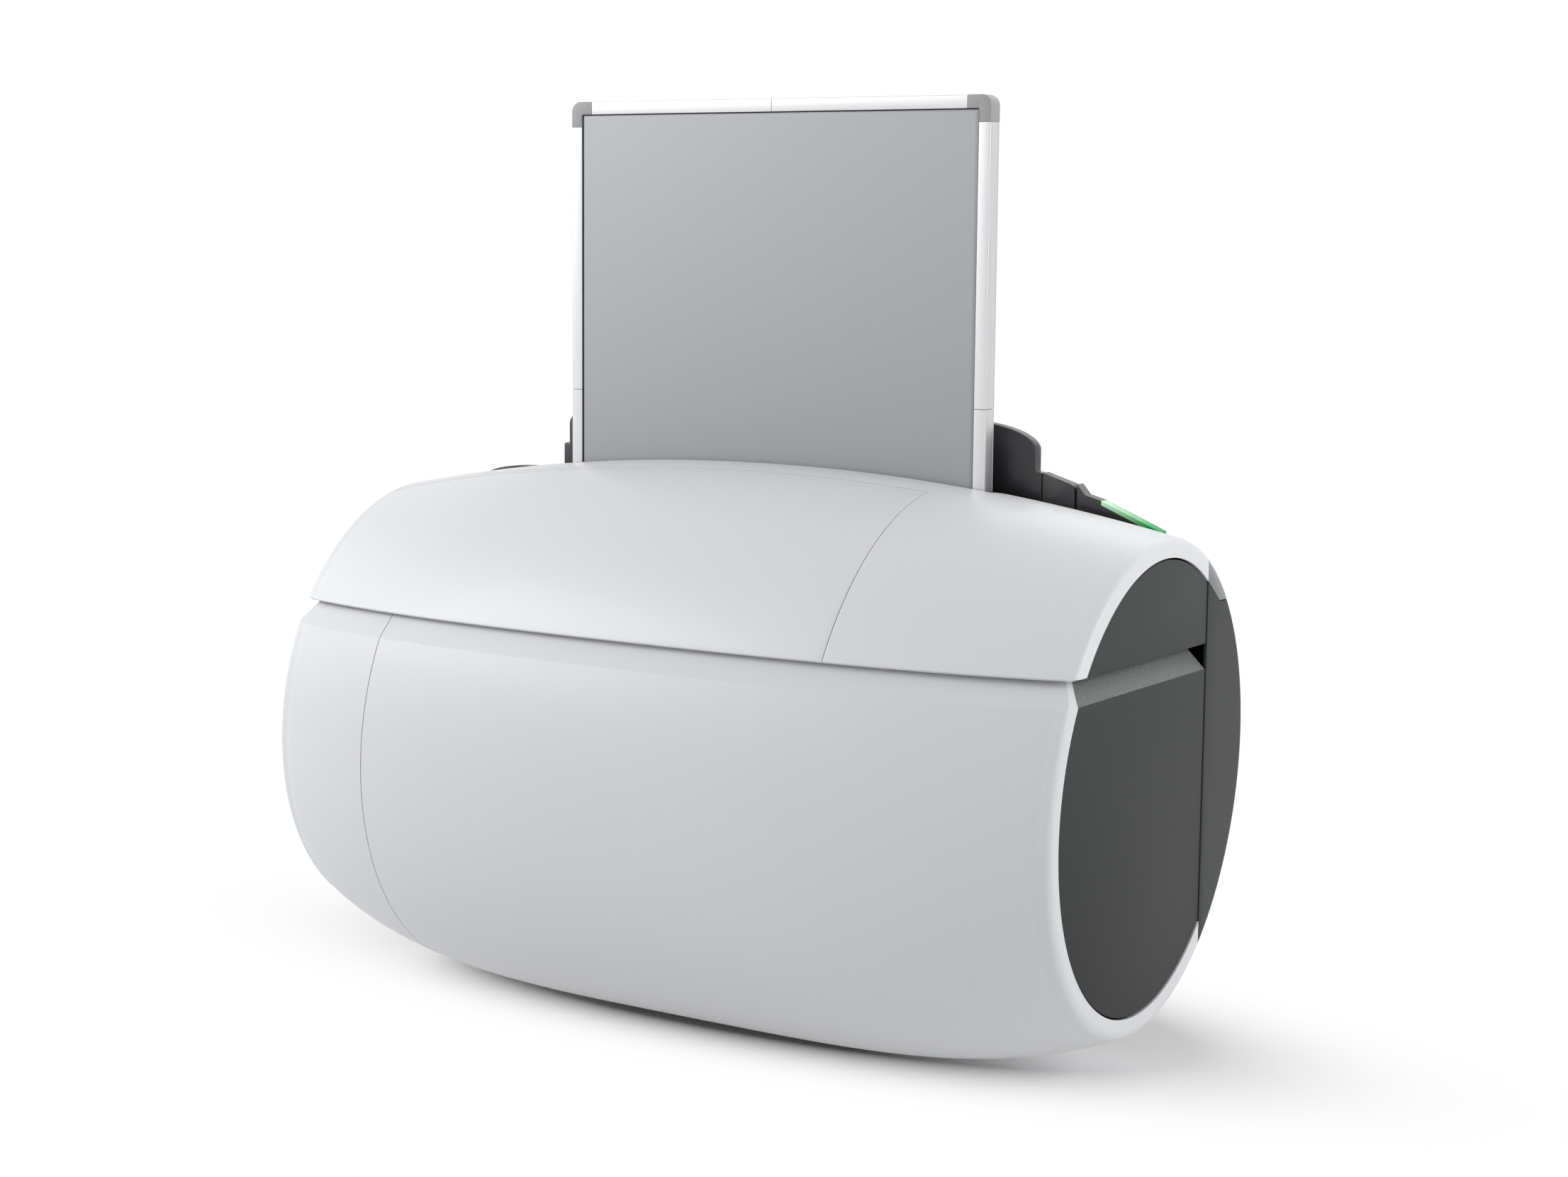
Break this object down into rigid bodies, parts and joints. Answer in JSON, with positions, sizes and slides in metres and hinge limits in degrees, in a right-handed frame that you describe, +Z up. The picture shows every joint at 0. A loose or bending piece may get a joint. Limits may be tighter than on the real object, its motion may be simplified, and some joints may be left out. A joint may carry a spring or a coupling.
{
  "type": "phosphor plate scanner",
  "caption": "Barrel-shaped desktop scanner with an upright X-ray cassette in its top slot, whose imaging plate is drawn down past a scanning beam.",
  "frame": {"origin": "on the table, at the middle of the whole object seen from above", "axes": "+X along the body to the viewer's right, +Y to the rear, +Z up; the front faces -Y"},
  "size_m": [0.6944, 0.3812, 0.719],
  "materials": {
    "white_shell": "gloss",
    "lower_shell": "gloss",
    "cap_dark": "satin",
    "rear_dark": "satin",
    "deck_dark": "satin",
    "rail": "satin",
    "corner": "matte",
    "cassette_panel": "satin",
    "imaging_plate": "matte",
    "green_lens": "gloss",
    "zinc_sheet": "satin",
    "steel_bar": "polished",
    "roller_rubber": "matte",
    "foot_rubber": "matte",
    "bush_bronze": "satin",
    "black_mould": "satin",
    "motor_body": "satin",
    "belt_rubber": "matte",
    "clear_bar": "gloss",
    "mirror_face": "polished",
    "board_green": "satin",
    "detector_case": "satin",
    "switch_black": "gloss",
    "port_metal": "satin"
  },
  "bodies": {
    "root": {"upper_right_housing": "white_shell", "upper_left_housing": "white_shell", "lower_front_panel": "lower_shell", "lower_left_panel": "lower_shell", "end_cap_upper_right": "cap_dark", "end_cap_lower_right": "cap_dark", "end_cap_upper_left": "cap_dark", "end_cap_lower_left": "cap_dark", "rear_housing": "rear_dark", "top_deck": "deck_dark", "cassette_support": "deck_dark", "slot_end_blocks": "deck_dark", "status_console": "deck_dark", "status_lens": "green_lens", "base_pan": "rear_dark", "rubber_feet": "foot_rubber", "chassis_left": "zinc_sheet", "chassis_right": "zinc_sheet", "cross_rods": "steel_bar", "cassette_guide": "black_mould", "latch_solenoid": "motor_body", "roller_bushes": "bush_bronze", "feed_motor": "motor_body", "timing_belt": "belt_rubber", "plate_guide_outer": "zinc_sheet", "plate_guide_inner": "zinc_sheet", "scan_platen": "black_mould", "optics_shelf": "zinc_sheet", "optics_housing": "black_mould", "scan_lens": "clear_bar", "laser_module": "detector_case", "mirror_motor": "motor_body", "light_collector": "clear_bar", "light_detectors": "detector_case", "erase_lamp": "detector_case", "main_board": "board_green", "power_supply": "zinc_sheet", "connector_tray": "rear_dark", "power_module": "black_mould", "data_port": "port_metal", "tray_screws": "steel_bar", "fan_frame": "black_mould"},
    "hood": {"front_hood": "white_shell"},
    "cassette": {"cassette_rails": "rail", "cassette_corners": "corner", "cassette_front_panel": "cassette_panel", "cassette_back_panel": "cassette_panel"},
    "plate": {"phosphor_plate": "imaging_plate"},
    "upper_drive": {"upper_drive_shaft": "steel_bar", "upper_drive_sleeve": "roller_rubber"},
    "lower_drive": {"lower_drive_shaft": "steel_bar", "lower_drive_sleeve": "roller_rubber"},
    "upper_pinch": {"upper_pinch_roller": "steel_bar"},
    "lower_pinch": {"lower_pinch_roller": "steel_bar"},
    "motor_rotor": {"motor_pulley": "steel_bar"},
    "mirror": {"polygon_mirror": "mirror_face"},
    "fan": {"fan_rotor": "black_mould"},
    "rocker": {"power_rocker": "switch_black"},
    "latch": {"latch_pin": "steel_bar"}
  },
  "joints": [
    {"name": "hood_pull", "type": "slide", "parent": "root", "child": "hood", "axis": [0, -1, 0], "range_m": [0, 0.12]},
    {"name": "cassette_lift", "type": "slide", "parent": "root", "child": "cassette", "axis": [0, 0, 1], "range_m": [0, 0.19]},
    {"name": "plate_feed", "type": "slide", "parent": "cassette", "child": "plate", "axis": [0, 0, -1], "range_m": [0, 0.12]},
    {"name": "upper_drive_turn", "type": "hinge", "parent": "root", "child": "upper_drive", "pos_m": [0, 0.0237, 0.24], "axis": [1, 0, 0], "range_deg": [-690, 5]},
    {"name": "lower_drive_turn", "type": "hinge", "parent": "root", "child": "lower_drive", "pos_m": [0, 0.0237, 0.18], "axis": [1, 0, 0], "range_deg": [-690, 5]},
    {"name": "upper_pinch_turn", "type": "hinge", "parent": "root", "child": "upper_pinch", "pos_m": [0, 0.0433, 0.24], "axis": [1, 0, 0], "range_deg": [-5, 865]},
    {"name": "lower_pinch_turn", "type": "hinge", "parent": "root", "child": "lower_pinch", "pos_m": [0, 0.0433, 0.18], "axis": [1, 0, 0], "range_deg": [-5, 865]},
    {"name": "motor_turn", "type": "hinge", "parent": "root", "child": "motor_rotor", "pos_m": [0.2, -0.03, 0.215], "axis": [1, 0, 0], "range_deg": [-1035, 5]},
    {"name": "mirror_spin", "type": "hinge", "parent": "root", "child": "mirror", "pos_m": [0, 0.118, 0.21], "axis": [0, 0, 1], "continuous": true},
    {"name": "fan_spin", "type": "hinge", "parent": "root", "child": "fan", "pos_m": [0.1, 0.13, 0.285], "axis": [0, 1, 0], "continuous": true},
    {"name": "rocker_tilt", "type": "hinge", "parent": "root", "child": "rocker", "pos_m": [-0.133, 0.109, 0.113], "axis": [1, 0, 0], "range_deg": [0, 16]},
    {"name": "latch_slide", "type": "slide", "parent": "root", "child": "latch", "axis": [0, -1, 0], "range_m": [0, 0.0045], "stiffness_N_per_m": 100}
  ],
  "couplings": [
    {"joint": "upper_drive_turn", "follows": "plate_feed", "rad_per_m": -100},
    {"joint": "lower_drive_turn", "follows": "plate_feed", "rad_per_m": -100},
    {"joint": "upper_pinch_turn", "follows": "plate_feed", "rad_per_m": 125},
    {"joint": "lower_pinch_turn", "follows": "plate_feed", "rad_per_m": 125},
    {"joint": "motor_turn", "follows": "plate_feed", "rad_per_m": -150}
  ]
}
